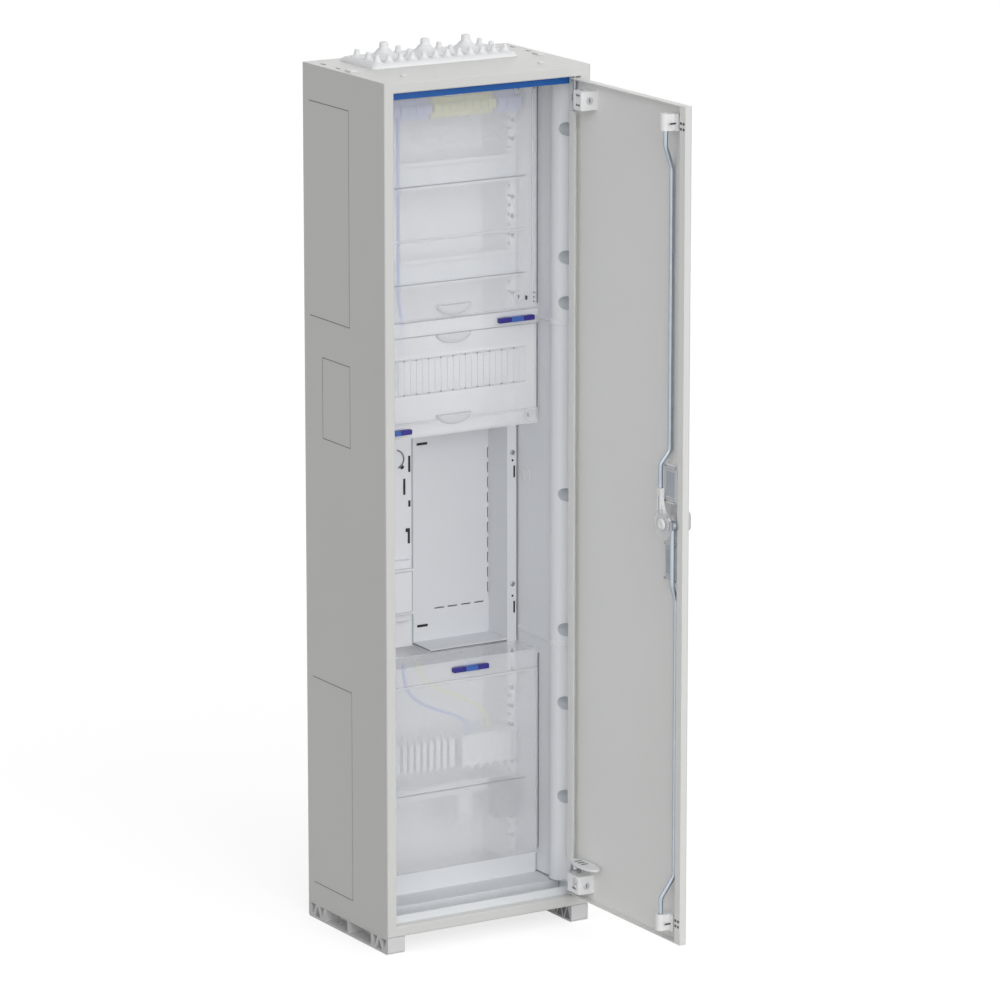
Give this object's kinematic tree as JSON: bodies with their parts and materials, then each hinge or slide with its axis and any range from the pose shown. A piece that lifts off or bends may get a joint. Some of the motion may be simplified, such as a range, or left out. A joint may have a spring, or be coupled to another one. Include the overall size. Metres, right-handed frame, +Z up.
{
  "type": "electrical distribution cabinet",
  "caption": "Tall narrow sheet-metal distribution and meter cabinet on moulded feet, with a full-height hinged door, rod lock, clear covers, meter bay and cable-entry membranes.",
  "frame": {"origin": "on the floor, under the centre of the cabinet's footprint", "axes": "+X to the cabinet's right seen from the front, -Y out of the door side, +Z up"},
  "size_m": [0.3019, 0.4635, 1.147],
  "materials": {
    "powder_coat": "light grey fine powder coat",
    "grey_moulding": "light grey moulded plastic",
    "membrane": "soft light grey membrane",
    "liner_plastic": "cool grey moulded plastic",
    "white_plastic": "white moulded plastic",
    "lock_plastic": "mid grey moulded plastic",
    "blue_strip": "blue plastic strip",
    "latch_blue": "dark blue plastic",
    "clear_cover": "clear slightly milky plastic",
    "zinc_steel": "zinc-plated sheet",
    "steel_rod": "bright drawn steel",
    "hinge_zinc": "painted cast hinge",
    "earth_plastic": "pale yellow-green plastic",
    "neutral_plastic": "pale blue plastic",
    "grey_terminal": "grey terminal plastic",
    "dark_terminal": "dark grey terminal plastic",
    "blue_insulation": "blue wire insulation",
    "earth_insulation": "yellow-green wire insulation"
  },
  "bodies": {
    "cabinet": {"body_wrap": "powder_coat", "back_panel": "powder_coat", "foot_left": "grey_moulding", "foot_right": "grey_moulding", "cable_entry": "membrane", "top_plugs": "white_plastic", "hinge_bearings": "white_plastic", "trim_strip": "blue_strip", "liner_lower": "liner_plastic", "liner_middle": "liner_plastic", "liner_upper": "liner_plastic", "floor_liner": "liner_plastic", "upright_left": "powder_coat", "upright_right": "powder_coat", "rail_top": "zinc_steel", "rail_second": "zinc_steel", "rail_device": "zinc_steel", "rail_lower": "zinc_steel", "terminal_bar": "zinc_steel", "clamp_bar": "zinc_steel", "pe_terminal": "earth_plastic", "n_terminal_left": "neutral_plastic", "n_terminal_right": "neutral_plastic", "upper_cover": "clear_cover", "device_cover": "clear_cover", "blanking_strips": "clear_cover", "lower_cover": "clear_cover", "meter_plate": "powder_coat", "meter_side_panel": "grey_moulding", "cable_comb": "grey_terminal", "main_terminal": "grey_terminal", "earth_plate": "zinc_steel", "earth_block": "dark_terminal", "feed_terminal": "grey_terminal", "feed_wire": "blue_insulation", "blue_wire": "blue_insulation", "earth_wire": "earth_insulation"},
    "door": {"door_panel": "powder_coat", "hinge_arm_lower": "hinge_zinc", "hinge_arm_upper": "hinge_zinc", "hinge_block_lower": "white_plastic", "hinge_block_upper": "white_plastic", "hinge_pin_upper": "steel_rod", "lock_escutcheon": "lock_plastic", "rod_guide_lower": "white_plastic", "rod_guide_upper": "white_plastic"},
    "handle": {"turn_handle": "lock_plastic", "lock_spindle": "steel_rod", "lock_cam": "white_plastic"},
    "upper_rod": {"lock_rod_upper": "steel_rod", "rod_clip": "white_plastic"},
    "lower_rod": {"lock_rod_lower": "steel_rod"},
    "release": {"release_lever": "white_plastic"},
    "latch_right": {"latch_right": "latch_blue"},
    "latch_left": {"latch_left": "latch_blue"},
    "latch_lower": {"latch_lower": "latch_blue"}
  },
  "joints": [
    {"name": "door_swing", "type": "hinge", "parent": "cabinet", "child": "door", "pos_m": [0.13, -0.097, 0.022], "axis": [0, 0, 1], "range_deg": [-90, 5]},
    {"name": "handle_turn", "type": "hinge", "parent": "door", "child": "handle", "pos_m": [0.1355, -0.332, 0.579], "axis": [1, 0, 0], "range_deg": [0, 90]},
    {"name": "upper_rod_slide", "type": "slide", "parent": "door", "child": "upper_rod", "axis": [0, 0, 1], "range_m": [0, 0.014]},
    {"name": "lower_rod_slide", "type": "slide", "parent": "door", "child": "lower_rod", "axis": [0, 0, -1], "range_m": [0, 0.014]},
    {"name": "hinge_release", "type": "slide", "parent": "door", "child": "release", "axis": [0, 0, 1], "range_m": [0, 0.012]},
    {"name": "latch_right_slide", "type": "slide", "parent": "cabinet", "child": "latch_right", "axis": [1, 0, 0], "range_m": [0, 0.008]},
    {"name": "latch_left_slide", "type": "slide", "parent": "cabinet", "child": "latch_left", "axis": [1, 0, 0], "range_m": [0, 0.008]},
    {"name": "latch_lower_slide", "type": "slide", "parent": "cabinet", "child": "latch_lower", "axis": [1, 0, 0], "range_m": [0, 0.008]}
  ],
  "couplings": [
    {"joint": "handle_turn", "follows": "upper_rod_slide", "rad_per_m": 112.19},
    {"joint": "lower_rod_slide", "follows": "upper_rod_slide", "ratio": 1}
  ]
}
